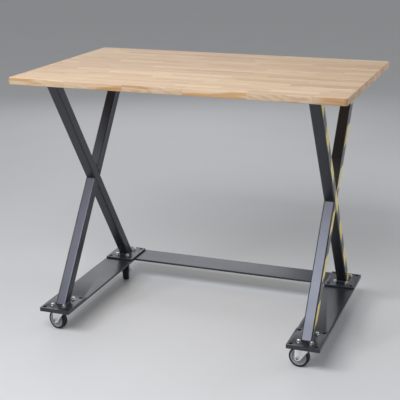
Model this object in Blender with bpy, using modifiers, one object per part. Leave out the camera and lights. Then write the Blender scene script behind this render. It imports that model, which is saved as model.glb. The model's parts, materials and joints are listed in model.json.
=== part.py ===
"""Industrial workbench: a solid wood top on two welded steel X frames, on four swivel casters."""

from math import acos, atan2, cos, hypot, pi, radians, sin

import bmesh
import bpy
from mathutils import Matrix, Vector

# Driving dimensions, in metres. X runs along the bench, Y from its front to its back, Z up.
# The origin is on the floor, under the middle of the top.
GAP = 0.0003  # clearance between pieces that touch

BENCH_HEIGHT = 0.983
TOP_LENGTH = 1.200
TOP_DEPTH = 0.800
TOP_THICKNESS = 0.024
TOP_CORNER_RADIUS = 0.012
TOP_EDGE_ROUND = 0.0025

END_OVERHANG = 0.124  # from an end of the top in to the middle plane of an X frame
EDGE_OVERHANG = 0.104  # from the top's front or rear edge in to the middle of a leg end
TUBE_SIZE = 0.040
TUBE_WALL = 0.002
TUBE_CORNER_RADIUS = 0.005
STRIP_WIDTH = 0.030
STRIP_THICKNESS = 0.0005

LEG_PLATE_WIDTH = 0.120
LEG_PLATE_LENGTH = 0.150
LEG_PLATE_THICKNESS = 0.006
TOP_PLATE_THICKNESS = 0.005
FOOT_PLATE_THICKNESS = 0.008
CROSS_PLATE_WIDTH = 0.120
CROSS_PLATE_THICKNESS = 0.008
PLATE_CORNER_RADIUS = 0.003
CORNER_HOLE_DIAMETER = 0.011
CORNER_HOLE_EDGE = 0.015  # from a corner hole's middle to the plate's edges
SCREW_HOLE_DIAMETER = 0.006

BOLT_DIAMETER = 0.008
BOLT_SPACING_X = 0.046
BOLT_TUBE_CLEARANCE = 0.0020  # between a nut and the leg that leans over it
BOLT_HEAD_HEIGHT = 0.0053
BOLT_END = 0.001  # the thread that stands out of the nut
HEX_WIDTH = 0.013  # across the flats of heads and nuts
NUT_HEIGHT = 0.0065
WASHER_DIAMETER = 0.016
WASHER_THICKNESS = 0.0016

WHEEL_DIAMETER = 0.075
TYRE_WIDTH = 0.025
TYRE_DEPTH = 0.006
TYRE_SHOULDER = 0.005
HUB_WIDTH = 0.028
HUB_DIAMETER = 0.021
RIM_DEPTH = 0.004
WEB_THICKNESS = 0.009
TRAIL = 0.029  # from the swivel axis back to the axle
AXLE_DIAMETER = 0.008
AXLE_HEAD_HEIGHT = 0.005
HUB_SIDE_CLEARANCE = 0.0006

FORK_THICKNESS = 0.0025
FORK_BEND_RADIUS = 0.006
FORK_EYE_RADIUS = 0.012
FORK_FRONT = 0.016  # from the swivel axis forward to the crown's edge
FORK_HEADROOM = 0.0075  # between the wheel and the fork's crown
SWIVEL_CLEARANCE = 0.004  # between the turning crown and the bolt heads above it
RACE_TOP_DIAMETER = 0.050
RACE_LOW_DIAMETER = 0.034
KINGPIN_DIAMETER = 0.010
KINGPIN_HEAD_DIAMETER = 0.018
KINGPIN_HEAD_HEIGHT = 0.003
MOUNT_PLATE_THICKNESS = 0.0025
MOUNT_PLATE_EDGE = 0.010  # from a bolt's middle to the mount plate's edges
MOUNT_PLATE_CORNER = 0.006

# How far each caster has turned from trailing towards the left end, in degrees.
CASTER_TURN = {"front_left": -15, "front_right": -8, "rear_left": 110, "rear_right": -6}

# Facets: pins and the holes around them, wheels, other turned pieces, and arcs.
PIN_SIDES = 10
WHEEL_STEPS = 24
TURNED_STEPS = 16
ARC_STEPS = 4

# Levels, from the floor up.
AXLE_Z = WHEEL_DIAMETER / 2
CROWN_LOW_Z = WHEEL_DIAMETER + FORK_HEADROOM
CROWN_TOP_Z = CROWN_LOW_Z + FORK_THICKNESS
RACE_LOW_Z = CROWN_TOP_Z + GAP
MOUNT_LOW_Z = CROWN_TOP_Z + SWIVEL_CLEARANCE + BOLT_HEAD_HEIGHT + GAP
MOUNT_TOP_Z = MOUNT_LOW_Z + MOUNT_PLATE_THICKNESS
FOOT_LOW_Z = MOUNT_TOP_Z + GAP
FOOT_TOP_Z = FOOT_LOW_Z + FOOT_PLATE_THICKNESS
LEG_PLATE_LOW_Z = FOOT_TOP_Z + GAP
LEG_PLATE_TOP_Z = LEG_PLATE_LOW_Z + LEG_PLATE_THICKNESS
WASHER_LOW_Z = LEG_PLATE_TOP_Z + GAP
NUT_TOP_Z = WASHER_LOW_Z + WASHER_THICKNESS + NUT_HEIGHT
TOP_LOW_Z = BENCH_HEIGHT - TOP_THICKNESS
TOP_PLATE_LOW_Z = TOP_LOW_Z - GAP - TOP_PLATE_THICKNESS
LEG_LOW_Z = LEG_PLATE_TOP_Z + GAP
LEG_TOP_Z = TOP_PLATE_LOW_Z - GAP

# Places that several pieces share.
FRAME_SPACING = TOP_LENGTH - 2 * END_OVERHANG  # between the middle planes of the two X frames
LEG_SPREAD = TOP_DEPTH - 2 * EDGE_OVERHANG  # front to back, between the middles of the leg ends
FRAME_X = FRAME_SPACING / 2
LEG_Y = LEG_SPREAD / 2
LEG_LEAN = LEG_SPREAD / (LEG_TOP_Z - LEG_LOW_Z)  # along Y, for each metre up
FOOT_PLATE_LENGTH = LEG_SPREAD + LEG_PLATE_LENGTH
TUBE_REACH = TUBE_SIZE / 2 * hypot(1, LEG_LEAN)  # half of the tube's cut end, along Y
BOLT_X = BOLT_SPACING_X / 2
HEX_RADIUS = HEX_WIDTH / 2 / cos(pi / 6)  # out to the corners of heads and nuts
BOLT_Y = TUBE_REACH + LEG_LEAN * (NUT_TOP_Z - LEG_LOW_Z) + BOLT_TUBE_CLEARANCE + HEX_RADIUS
BOLT_PLACES = [(sx * BOLT_X, sy * BOLT_Y) for sx in (-1, 1) for sy in (-1, 1)]
CORNER_PLACES = [
    (sx * (LEG_PLATE_WIDTH / 2 - CORNER_HOLE_EDGE), sy * (LEG_PLATE_LENGTH / 2 - CORNER_HOLE_EDGE))
    for sx in (-1, 1)
    for sy in (-1, 1)
]
FORK_INSIDE = HUB_WIDTH / 2 + HUB_SIDE_CLEARANCE
FORK_OUTSIDE = FORK_INSIDE + FORK_THICKNESS
SIDES = {"left": -1, "right": 1}
ENDS = {"front": -1, "rear": 1}


def clear_scene():
    for obj in list(bpy.data.objects):
        bpy.data.objects.remove(obj)


def new_collection(name):
    collection = bpy.data.collections.new(name)
    bpy.context.scene.collection.children.link(collection)
    return collection


def new_material(name, colour, roughness, metallic=0.0):
    material = bpy.data.materials.new(name)
    material.use_nodes = True
    shader = material.node_tree.nodes["Principled BSDF"]
    shader.inputs["Base Color"].default_value = (*colour, 1.0)
    shader.inputs["Roughness"].default_value = roughness
    shader.inputs["Metallic"].default_value = metallic
    return material


def mesh_of(name, bm, smooth=False):
    """A mesh from a bmesh, with its faces pointing out and its round sides shaded smooth."""
    bmesh.ops.recalc_face_normals(bm, faces=bm.faces)
    mesh = bpy.data.meshes.new(name)
    bm.to_mesh(mesh)
    bm.free()
    if smooth:
        mesh.shade_smooth()
        mesh.set_sharp_from_angle(angle=radians(40))
    return mesh


def place(name, mesh, material, location=(0, 0, 0), parent=None, rotation=(0, 0, 0)):
    """A finished piece in the bench's collection."""
    obj = bpy.data.objects.new(name, mesh)
    BENCH.objects.link(obj)
    obj.parent = parent
    obj.location = location
    obj.rotation_euler = rotation
    if not mesh.materials:
        mesh.materials.append(material)
    return obj


def helper(name, mesh, location=(0, 0, 0)):
    """A cutter, or a blank that other pieces are made from, which isn't a piece of the bench."""
    obj = bpy.data.objects.new(name, mesh)
    CUTTERS.objects.link(obj)
    obj.location = location
    obj.hide_render = True
    obj.display_type = "WIRE"
    return obj


def combine(obj, operation, tool):
    """Joins, cuts or intersects an object with a helper, as a live modifier."""
    modifier = obj.modifiers.new(operation.title(), "BOOLEAN")
    modifier.operation = operation
    modifier.solver = "EXACT"
    modifier.object = tool


def settled(blank, smooth=False):
    """The mesh that a blank's modifiers make, for several pieces to share. The blank and its tools go."""
    bpy.context.view_layer.update()
    graph = bpy.context.evaluated_depsgraph_get()
    mesh = bpy.data.meshes.new_from_object(blank.evaluated_get(graph))
    tools = [m.object for m in blank.modifiers if m.type == "BOOLEAN"]
    for obj in [blank, *tools]:
        bpy.data.objects.remove(obj)
    if smooth:
        mesh.shade_smooth()
        mesh.set_sharp_from_angle(angle=radians(40))
    return mesh


def box(width, depth, low, high, corner=0.0, corner_steps=2):
    """An upright box about the Z axis, between two levels, with its four upright edges rounded."""
    bm = bmesh.new()
    bmesh.ops.create_cube(bm, size=1.0)
    bmesh.ops.scale(bm, vec=(width, depth, high - low), verts=bm.verts)
    bmesh.ops.translate(bm, vec=(0, 0, (low + high) / 2), verts=bm.verts)
    if corner:
        upright = [e for e in bm.edges if abs(e.verts[0].co.z - e.verts[1].co.z) > (high - low) / 2]
        bmesh.ops.bevel(
            bm, geom=upright, offset=corner, segments=corner_steps, profile=0.5, affect="EDGES"
        )
    return bm


def cylinders(places, diameter, low, high, sides):
    """Upright cylinders, or prisms of few sides, at (x, y) places between two levels."""
    bm = bmesh.new()
    for x, y in places:
        bmesh.ops.create_cone(
            bm,
            cap_ends=True,
            segments=sides,
            radius1=diameter / 2,
            radius2=diameter / 2,
            depth=high - low,
            matrix=Matrix.Translation((x, y, (low + high) / 2)),
        )
    return bm


def turned(name, profile, steps):
    """A blank turned about Z from (radius, z) points, which run down the outer side."""
    mesh = bpy.data.meshes.new(name)
    closed = min(radius for radius, _ in profile) > 0
    count = len(profile)
    edges = [(i, (i + 1) % count) for i in range(count if closed else count - 1)]
    mesh.from_pydata([(radius, 0, z) for radius, z in profile], edges, [])
    blank = helper(name, mesh)
    screw = blank.modifiers.new("Turn", "SCREW")
    screw.steps = steps
    screw.render_steps = steps
    screw.use_merge_vertices = True
    screw.merge_threshold = 0.00001
    return blank


def arc(centre, radius, start, end, steps=ARC_STEPS):
    """Points along an arc, its ends included, with angles in radians."""
    turns = [start + (end - start) * i / steps for i in range(steps + 1)]
    return [(centre[0] + radius * cos(a), centre[1] + radius * sin(a)) for a in turns]


def outline_prism(name, points, thickness):
    """A solid of a flat outline, with its thickness half on each side of the XY plane."""
    curve = bpy.data.curves.new(name, "CURVE")
    curve.dimensions = "2D"
    curve.fill_mode = "BOTH"
    curve.extrude = thickness / 2
    spline = curve.splines.new("POLY")
    spline.points.add(len(points) - 1)
    for point, (x, y) in zip(spline.points, points):
        point.co = (x, y, 0, 1)
    spline.use_cyclic_u = True
    mesh = settled(helper(name, curve))
    bm = bmesh.new()
    bm.from_mesh(mesh)
    bpy.data.meshes.remove(mesh)
    bmesh.ops.remove_doubles(bm, verts=bm.verts, dist=0.000001)
    return bm


def slanted_bar(width, depth, lean_sign, overrun, corner=0.0):
    """A square bar along a leg's middle line, in the plane X = 0, past both ends by overrun.

    The line goes from the floor end at Y = -lean_sign * LEG_Y to the top end at Y = lean_sign * LEG_Y.
    """
    run = Vector((0, lean_sign * LEG_SPREAD, LEG_TOP_Z - LEG_LOW_Z))
    bm = box(width, depth, 0, run.length + 2 * overrun, corner)
    centred = Matrix.Translation((0, 0, -run.length / 2 - overrun))
    turn = Matrix.Rotation(-atan2(run.y, run.z), 4, "X")
    middle = Matrix.Translation((0, 0, (LEG_LOW_Z + LEG_TOP_Z) / 2))
    bmesh.ops.transform(bm, matrix=middle @ turn @ centred, verts=bm.verts)
    return bm


def trim(bm, point, outward):
    """Cuts away what lies beyond a plane and caps the cut."""
    everything = bm.verts[:] + bm.edges[:] + bm.faces[:]
    cut = bmesh.ops.bisect_plane(
        bm, geom=everything, plane_co=point, plane_no=outward, clear_outer=True
    )
    rim = [e for e in cut["geom_cut"] if isinstance(e, bmesh.types.BMEdge)]
    bmesh.ops.edgeloop_fill(bm, edges=rim)


def trim_to_plates(bm, low=True, high=True):
    if low:
        trim(bm, (0, 0, LEG_LOW_Z), (0, 0, -1))
    if high:
        trim(bm, (0, 0, LEG_TOP_Z), (0, 0, 1))
    return bm


def make_top():
    bm = box(TOP_LENGTH, TOP_DEPTH, TOP_LOW_Z, BENCH_HEIGHT, TOP_CORNER_RADIUS, ARC_STEPS)
    top = place("tabletop", mesh_of("tabletop", bm, smooth=True), WOOD)
    bevel = top.modifiers.new("Eased edges", "BEVEL")
    bevel.width = TOP_EDGE_ROUND
    bevel.segments = 2
    bevel.limit_method = "ANGLE"
    bevel.angle_limit = radians(50)


def make_frames():
    """Both X frames: a through leg from front top to rear foot, and two half legs that meet it."""
    overrun = TUBE_SIZE
    bore_size = TUBE_SIZE - 2 * TUBE_WALL
    bore_corner = max(TUBE_CORNER_RADIUS - TUBE_WALL, TUBE_WALL / 4)
    through = Vector((0, -LEG_SPREAD, LEG_TOP_Z - LEG_LOW_Z)).normalized()
    across = Vector((0, through.z, -through.y))  # square to the through leg, towards the back
    middle = Vector((0, 0, (LEG_LOW_Z + LEG_TOP_Z) / 2))
    face = TUBE_SIZE / 2 + GAP

    def leg_mesh(name, lean_sign, cut):
        bm = slanted_bar(TUBE_SIZE, TUBE_SIZE, lean_sign, overrun, TUBE_CORNER_RADIUS)
        return mesh_of(name, cut(bm), smooth=True)

    def lower_half(bm):
        trim(bm, middle - face * across, across)
        return trim_to_plates(bm, high=False)

    def upper_half(bm):
        trim(bm, middle + face * across, -across)
        return trim_to_plates(bm, low=False)

    meshes = {
        "through_leg": (leg_mesh("through_leg", -1, trim_to_plates), -1),
        "lower_half_leg": (leg_mesh("lower_half_leg", 1, lower_half), 1),
        "upper_half_leg": (leg_mesh("upper_half_leg", 1, upper_half), 1),
    }
    for side, sign in SIDES.items():
        for piece, (mesh, lean_sign) in meshes.items():
            leg = place(f"{side}_{piece}", mesh, COAT, (sign * FRAME_X, 0, 0))
            bore = slanted_bar(bore_size, bore_size, lean_sign, 2 * overrun, bore_corner)
            tool = helper(f"{leg.name}_bore", mesh_of(f"{piece}_bore", bore), leg.location)
            combine(leg, "DIFFERENCE", tool)


def make_marking_strips():
    """The crossed strip on the outward faces of each frame's legs."""
    bars = [trim_to_plates(slanted_bar(STRIP_THICKNESS, STRIP_WIDTH, s, TUBE_SIZE)) for s in (-1, 1)]
    blank = helper("strip_blank", mesh_of("strip_down", bars[0]))
    combine(blank, "UNION", helper("strip_up", mesh_of("strip_up", bars[1])))
    mesh = settled(blank)
    mesh.name = "marking_strip"
    out = FRAME_X + TUBE_SIZE / 2 + GAP + STRIP_THICKNESS / 2
    for side, sign in SIDES.items():
        place(f"{side}_marking_strip", mesh, YELLOW, (sign * out, 0, 0))


def make_plates():
    """The flat steel: leg plates, top plates, foot plates and the rear cross plate."""
    size = (LEG_PLATE_WIDTH, LEG_PLATE_LENGTH)
    bolt_hole = BOLT_DIAMETER + 2 * GAP
    through = (FOOT_LOW_Z - FOOT_PLATE_THICKNESS, LEG_PLATE_TOP_Z + LEG_PLATE_THICKNESS)

    blank = helper(
        "leg_plate_blank",
        mesh_of("leg_plate", box(*size, LEG_PLATE_LOW_Z, LEG_PLATE_TOP_Z, PLATE_CORNER_RADIUS)),
    )
    holes = (("bolt_holes", BOLT_PLACES, bolt_hole), ("corner_holes", CORNER_PLACES, CORNER_HOLE_DIAMETER))
    for name, places, diameter in holes:
        tool = helper(name, mesh_of(name, cylinders(places, diameter, *through, PIN_SIDES)))
        combine(blank, "DIFFERENCE", tool)
    leg_plate = settled(blank)

    top_high = TOP_PLATE_LOW_Z + TOP_PLATE_THICKNESS
    blank = helper(
        "top_plate_blank",
        mesh_of("top_plate", box(*size, TOP_PLATE_LOW_Z, top_high, PLATE_CORNER_RADIUS)),
    )
    past = (TOP_PLATE_LOW_Z - TOP_PLATE_THICKNESS, top_high + TOP_PLATE_THICKNESS)
    screws = cylinders(CORNER_PLACES, SCREW_HOLE_DIAMETER, *past, PIN_SIDES)
    combine(blank, "DIFFERENCE", helper("screw_holes", mesh_of("screw_holes", screws)))
    top_plate = settled(blank)

    for side, sx in SIDES.items():
        for end, sy in ENDS.items():
            spot = (sx * FRAME_X, sy * LEG_Y, 0)
            place(f"{end}_{side}_leg_plate", leg_plate, COAT, spot)
            place(f"{end}_{side}_top_plate", top_plate, COAT, spot)

    both_ends = [-LEG_Y, LEG_Y]
    for side, sx in SIDES.items():
        bar = box(LEG_PLATE_WIDTH, FOOT_PLATE_LENGTH, FOOT_LOW_Z, FOOT_TOP_Z, PLATE_CORNER_RADIUS)
        foot = place(f"{side}_foot_plate", mesh_of("foot_plate", bar), COAT, (sx * FRAME_X, 0, 0))
        for name, places, diameter in holes:
            spots = [(x, y + middle) for middle in both_ends for x, y in places]
            cutter = mesh_of(f"foot_{name}", cylinders(spots, diameter, *through, PIN_SIDES))
            combine(foot, "DIFFERENCE", helper(f"{foot.name}_{name}", cutter, foot.location))

    length = FRAME_SPACING - LEG_PLATE_WIDTH - 2 * GAP
    back = FOOT_PLATE_LENGTH / 2 - CROSS_PLATE_WIDTH / 2
    bar = box(length, CROSS_PLATE_WIDTH, FOOT_TOP_Z - CROSS_PLATE_THICKNESS, FOOT_TOP_Z)
    place("rear_cross_plate", mesh_of("rear_cross_plate", bar), COAT, (0, back, 0))


def hexagon(low, high):
    """A hexagon of the fasteners' size about Z, between two levels."""
    return cylinders([(0, 0)], 2 * HEX_RADIUS, low, high, 6)


def fastener_mesh(name, shank, parts):
    """A shank with heads, nuts and washers joined to it, each part given as a bmesh."""
    blank = helper(f"{name}_blank", mesh_of(name, shank))
    for i, part in enumerate(parts):
        combine(blank, "UNION", helper(f"{name}_part_{i}", mesh_of(f"{name}_part", part)))
    return settled(blank, smooth=True)


def caster_bolt_mesh():
    """A hexagon bolt up through caster, foot plate and leg plate, with its washer and nut on top."""
    head_top = MOUNT_LOW_Z - GAP
    nut_low = WASHER_LOW_Z + WASHER_THICKNESS
    middle = [(0, 0)]
    shank = cylinders(
        middle, BOLT_DIAMETER, head_top - BOLT_HEAD_HEIGHT / 2, NUT_TOP_Z + BOLT_END, PIN_SIDES
    )
    head = hexagon(head_top - BOLT_HEAD_HEIGHT, head_top)
    washer = cylinders(middle, WASHER_DIAMETER, WASHER_LOW_Z, nut_low, PIN_SIDES)
    nut = hexagon(nut_low - WASHER_THICKNESS / 2, NUT_TOP_Z)
    return fastener_mesh("caster_bolt", shank, [head, washer, nut])


def axle_bolt_mesh():
    """The axle: a hexagon bolt through both fork legs and the hub, along Z, with its nut."""
    seat = FORK_OUTSIDE + GAP
    past = seat + NUT_HEIGHT + BOLT_END
    shank = cylinders([(0, 0)], AXLE_DIAMETER, -seat - AXLE_HEAD_HEIGHT / 2, past, PIN_SIDES)
    head = hexagon(-seat - AXLE_HEAD_HEIGHT, -seat)
    nut = hexagon(seat, seat + NUT_HEIGHT)
    return fastener_mesh("axle_bolt", shank, [head, nut])


def mount_plate_mesh():
    """A caster's top plate with the race pressed down from it, bored for the kingpin and the bolts."""
    width = 2 * (BOLT_X + MOUNT_PLATE_EDGE)
    depth = 2 * (BOLT_Y + MOUNT_PLATE_EDGE)
    plate = box(width, depth, MOUNT_LOW_Z, MOUNT_TOP_Z, MOUNT_PLATE_CORNER, 3)
    blank = helper("mount_plate_blank", mesh_of("mount_plate", plate))
    bore = KINGPIN_DIAMETER / 2 + GAP
    inside = MOUNT_LOW_Z + MOUNT_PLATE_THICKNESS / 2
    race = [
        (bore, inside),
        (RACE_TOP_DIAMETER / 2, inside),
        (RACE_TOP_DIAMETER / 2, MOUNT_LOW_Z),
        (RACE_LOW_DIAMETER / 2, RACE_LOW_Z),
        (bore, RACE_LOW_Z),
    ]
    ring = settled(turned("race", race, TURNED_STEPS))
    combine(blank, "UNION", helper("race", ring))
    past = (RACE_LOW_Z - FORK_HEADROOM, MOUNT_TOP_Z + MOUNT_PLATE_THICKNESS)
    bolts = cylinders(BOLT_PLACES, BOLT_DIAMETER + 2 * GAP, *past, PIN_SIDES)
    combine(blank, "DIFFERENCE", helper("mount_bolts", mesh_of("mount_bolts", bolts)))
    pin = cylinders([(0, 0)], 2 * bore, *past, TURNED_STEPS)
    combine(blank, "DIFFERENCE", helper("mount_pin", mesh_of("mount_pin", pin)))
    return settled(blank)


def kingpin_mesh():
    """The rivet that the fork turns on, with its head under the crown."""
    head_top = CROWN_LOW_Z - GAP
    pin = KINGPIN_DIAMETER / 2
    head = KINGPIN_HEAD_DIAMETER / 2
    profile = [
        (0, MOUNT_TOP_Z - GAP),
        (pin, MOUNT_TOP_Z - GAP),
        (pin, head_top),
        (head, head_top),
        (head, head_top - KINGPIN_HEAD_HEIGHT),
        (0, head_top - KINGPIN_HEAD_HEIGHT),
    ]
    return settled(turned("kingpin", profile, TURNED_STEPS), smooth=True)


def fork_mesh():
    """The pressed fork: a bent channel over the wheel, trimmed to the fork's outline from the side.

    The swivel axis is Z and the axle runs along Y, TRAIL behind it.
    """
    axle = (-TRAIL, AXLE_Z)
    back = -TRAIL - FORK_EYE_RADIUS
    shoulder = (FORK_FRONT, CROWN_LOW_Z)
    reach = (shoulder[0] - axle[0], shoulder[1] - axle[1])
    lower = atan2(reach[1], reach[0]) - acos(FORK_EYE_RADIUS / hypot(*reach))
    side = [(back, CROWN_TOP_Z), *arc(axle, FORK_EYE_RADIUS, pi, 2 * pi + lower, 2 * ARC_STEPS)]
    side += [shoulder, (FORK_FRONT, CROWN_TOP_Z)]

    inner_radius = FORK_BEND_RADIUS - FORK_THICKNESS
    bend_y = FORK_OUTSIDE - FORK_BEND_RADIUS
    bend_z = CROWN_TOP_Z - FORK_BEND_RADIUS
    low = AXLE_Z - 2 * FORK_EYE_RADIUS
    channel = [(FORK_OUTSIDE, low)]
    channel += arc((bend_y, bend_z), FORK_BEND_RADIUS, 0, pi / 2)
    channel += arc((-bend_y, bend_z), FORK_BEND_RADIUS, pi / 2, pi)
    channel += [(-FORK_OUTSIDE, low), (-FORK_INSIDE, low)]
    channel += arc((-bend_y, bend_z), inner_radius, pi, pi / 2)
    channel += arc((bend_y, bend_z), inner_radius, pi / 2, 0)
    channel += [(FORK_INSIDE, low)]

    long_way = 2 * (FORK_FRONT - back)
    bent = outline_prism("fork_channel", channel, long_way)
    along_x = Matrix(((0, 0, 1), (1, 0, 0), (0, 1, 0))).to_4x4()
    bmesh.ops.transform(bent, matrix=along_x, verts=bent.verts)
    blank = helper("fork_blank", mesh_of("fork", bent))
    trimmed = outline_prism("fork_side", side, 4 * FORK_OUTSIDE)
    along_y = Matrix.Rotation(pi / 2, 4, "X")
    bmesh.ops.transform(trimmed, matrix=along_y, verts=trimmed.verts)
    combine(blank, "INTERSECT", helper("fork_side", mesh_of("fork_side", trimmed)))

    past = (AXLE_Z, CROWN_TOP_Z + FORK_HEADROOM)
    pin = cylinders([(0, 0)], KINGPIN_DIAMETER + 2 * GAP, *past, TURNED_STEPS)
    combine(blank, "DIFFERENCE", helper("fork_pin", mesh_of("fork_pin", pin)))
    eye = cylinders([(0, 0)], AXLE_DIAMETER + 2 * GAP, -2 * FORK_OUTSIDE, 2 * FORK_OUTSIDE, PIN_SIDES)
    to_axle = Matrix.Translation((-TRAIL, 0, AXLE_Z)) @ Matrix.Rotation(pi / 2, 4, "X")
    bmesh.ops.transform(eye, matrix=to_axle, verts=eye.verts)
    combine(blank, "DIFFERENCE", helper("fork_eye", mesh_of("fork_eye", eye)))
    return settled(blank, smooth=True)


def wheel_core_mesh():
    """The moulded wheel centre about Z: a hub, a thin web and a rim under the tyre."""
    bore = AXLE_DIAMETER / 2 + GAP
    hub = HUB_DIAMETER / 2
    rim = WHEEL_DIAMETER / 2 - TYRE_DEPTH - GAP
    inside = rim - RIM_DEPTH
    half = [
        (bore, HUB_WIDTH / 2),
        (hub, HUB_WIDTH / 2),
        (hub, WEB_THICKNESS / 2),
        (inside, WEB_THICKNESS / 2),
        (inside, TYRE_WIDTH / 2),
        (rim, TYRE_WIDTH / 2),
    ]
    return settled(turned("wheel_core", mirrored(half), WHEEL_STEPS), smooth=True)


def tyre_mesh():
    """The rubber tyre about Z, with round shoulders."""
    outer = WHEEL_DIAMETER / 2
    round_z = TYRE_WIDTH / 2 - TYRE_SHOULDER
    half = [(outer - TYRE_DEPTH, TYRE_WIDTH / 2)]
    half += arc((outer - TYRE_SHOULDER, round_z), TYRE_SHOULDER, pi / 2, 0, 3)
    return settled(turned("tyre", mirrored(half), WHEEL_STEPS), smooth=True)


def mirrored(half):
    """A profile's upper half followed by its lower half, from top to bottom."""
    return half + [(radius, -z) for radius, z in reversed(half)]


def make_casters():
    """Four casters. Fork and axle turn on the swivel empty, and the wheel on its axle."""
    bolt = caster_bolt_mesh()
    axle = axle_bolt_mesh()
    mount = mount_plate_mesh()
    kingpin = kingpin_mesh()
    fork = fork_mesh()
    core = wheel_core_mesh()
    tyre = tyre_mesh()
    on_axle = (-TRAIL, 0, AXLE_Z)
    to_axle = (pi / 2, 0, 0)
    for side, sx in SIDES.items():
        for end, sy in ENDS.items():
            corner = f"{end}_{side}"
            spot = Vector((sx * FRAME_X, sy * LEG_Y, 0))
            place(f"{corner}_mount_plate", mount, ZINC, spot)
            place(f"{corner}_kingpin", kingpin, ZINC, spot)
            for i, (x, y) in enumerate(BOLT_PLACES):
                place(f"{corner}_caster_bolt_{i + 1}", bolt, ZINC, spot + Vector((x, y, 0)))
            swivel = bpy.data.objects.new(f"{corner}_swivel", None)
            BENCH.objects.link(swivel)
            swivel.location = spot
            swivel.rotation_euler = (0, 0, radians(CASTER_TURN[corner]))
            place(f"{corner}_fork", fork, ZINC, parent=swivel)
            place(f"{corner}_axle_bolt", axle, ZINC, on_axle, swivel, to_axle)
            place(f"{corner}_wheel_core", core, HUB_GREY, on_axle, swivel, to_axle)
            place(f"{corner}_tyre", tyre, RUBBER, on_axle, swivel, to_axle)


clear_scene()
BENCH = new_collection("workbench")
CUTTERS = new_collection("cutters")
WOOD = new_material("oiled wood", (0.68, 0.49, 0.31), 0.5)
COAT = new_material("charcoal powder coat", (0.045, 0.046, 0.052), 0.5)
YELLOW = new_material("yellow tape", (0.66, 0.48, 0.06), 0.45)
ZINC = new_material("zinc plate", (0.74, 0.75, 0.76), 0.3, 1.0)
HUB_GREY = new_material("grey moulded hub", (0.24, 0.24, 0.25), 0.5)
RUBBER = new_material("black rubber", (0.018, 0.018, 0.019), 0.75)
make_top()
make_frames()
make_marking_strips()
make_plates()
make_casters()
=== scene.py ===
"""The looks of an industrial workbench: an oiled wood top on two welded steel X frames, on four casters."""

import json

import bpy
import numpy as np
from mathutils import Euler, Matrix, Vector
from mathutils.geometry import tessellate_polygon


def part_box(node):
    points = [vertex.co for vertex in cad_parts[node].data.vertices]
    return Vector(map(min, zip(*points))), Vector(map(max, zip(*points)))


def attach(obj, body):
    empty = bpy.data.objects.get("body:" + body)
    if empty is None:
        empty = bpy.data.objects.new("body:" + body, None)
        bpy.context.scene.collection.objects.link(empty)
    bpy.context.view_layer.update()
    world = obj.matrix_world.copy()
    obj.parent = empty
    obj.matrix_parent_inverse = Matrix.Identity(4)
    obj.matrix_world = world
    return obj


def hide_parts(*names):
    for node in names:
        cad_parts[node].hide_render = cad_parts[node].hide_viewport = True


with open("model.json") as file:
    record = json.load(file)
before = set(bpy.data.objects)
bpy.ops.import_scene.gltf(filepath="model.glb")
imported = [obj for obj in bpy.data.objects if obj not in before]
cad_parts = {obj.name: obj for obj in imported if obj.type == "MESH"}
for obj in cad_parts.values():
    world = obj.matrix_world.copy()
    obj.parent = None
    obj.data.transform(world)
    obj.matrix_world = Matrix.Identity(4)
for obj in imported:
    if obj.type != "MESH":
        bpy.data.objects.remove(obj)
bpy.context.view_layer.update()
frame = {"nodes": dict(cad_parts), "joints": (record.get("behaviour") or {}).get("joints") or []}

# The two X frames are square steel tube. In each, a through leg runs from the front of the top down to the
# rear foot, and two half legs are butted against its middle. The ends are sawn level with the plates, and
# the frames are powder coated charcoal, which leaves a satin skin with a fine orange peel.
sides = ("left", "right")
ends = ("front", "rear")
tube_wall = 0.002
tube_corner_radius = 0.005
tube_face_margin = 0.0004
corner_steps = 6
coat_colour = (0.013, 0.0135, 0.016, 1.0)
coat_sheen_tint = (0.82, 0.85, 1.0, 1.0)
coat_index = 1.58
coat_roughness = (0.06, 0.31, 0.34)
coat_peel = (0.0016, 0.04, 0.0002)
coat_dust_colour = (0.26, 0.26, 0.27, 1.0)
coat_dust = 0.03
dust_fineness = (14.0, 14.0, 14.0)
dust_span = (0.3, 0.75)
dust_thinnest = 0.35
noise_span = (0.3, 0.7)
x_axis = np.array((1.0, 0.0, 0.0))
up = np.array((0.0, 0.0, 1.0))


def node_box(node):
    """A node's lowest and highest corners, as two rows."""
    return np.array([list(corner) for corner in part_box(node)])


def rounded_rectangle(width, depth, radius, steps):
    """The corners' centres and the outward unit vectors round a rounded rectangle, anticlockwise. Each
    corner has one centre and a quarter turn of vectors, and a point is centre + radius * vector."""
    sweep = np.linspace(0, np.pi / 2, steps + 1)
    angles = (np.arange(4)[:, None] * np.pi / 2 + sweep).ravel()
    signs = np.array([(1, 1), (-1, 1), (-1, -1), (1, -1)])
    centres = np.repeat(signs * (width / 2 - radius, depth / 2 - radius), steps + 1, axis=0)
    return centres, np.stack([np.cos(angles), np.sin(angles)], axis=1)


def grid_quads(rows, columns, close_rows=False):
    """Quads between neighbouring points of a grid whose columns close on themselves."""
    row_count = rows if close_rows else rows - 1
    row, column = np.meshgrid(np.arange(row_count), np.arange(columns), indexing="ij")
    start = row * columns
    next_start = (row + 1) % rows * columns
    beside = (column + 1) % columns
    quad = (start + column, start + beside, next_start + beside, next_start + column)
    return np.stack(quad, axis=-1).reshape(-1, 4)


def outward(points, quads, caps):
    """The shell with its faces pointing out. The volume under the faces, summed as tetrahedra to the
    middle of the points, is negative when they point in."""
    fans = [np.stack([np.full(len(cap) - 2, cap[0]), cap[1:-1], cap[2:]], axis=1) for cap in caps]
    triangles = np.concatenate([quads[:, [0, 1, 2]], quads[:, [0, 2, 3]], *fans])
    a, b, c = ((points - points.mean(axis=0))[triangles[:, i]] for i in range(3))
    if np.einsum("ij,ij->", a, np.cross(b, c)) < 0:
        quads = quads[:, ::-1]
        caps = [cap[::-1] for cap in caps]
    return points, quads, caps


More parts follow.
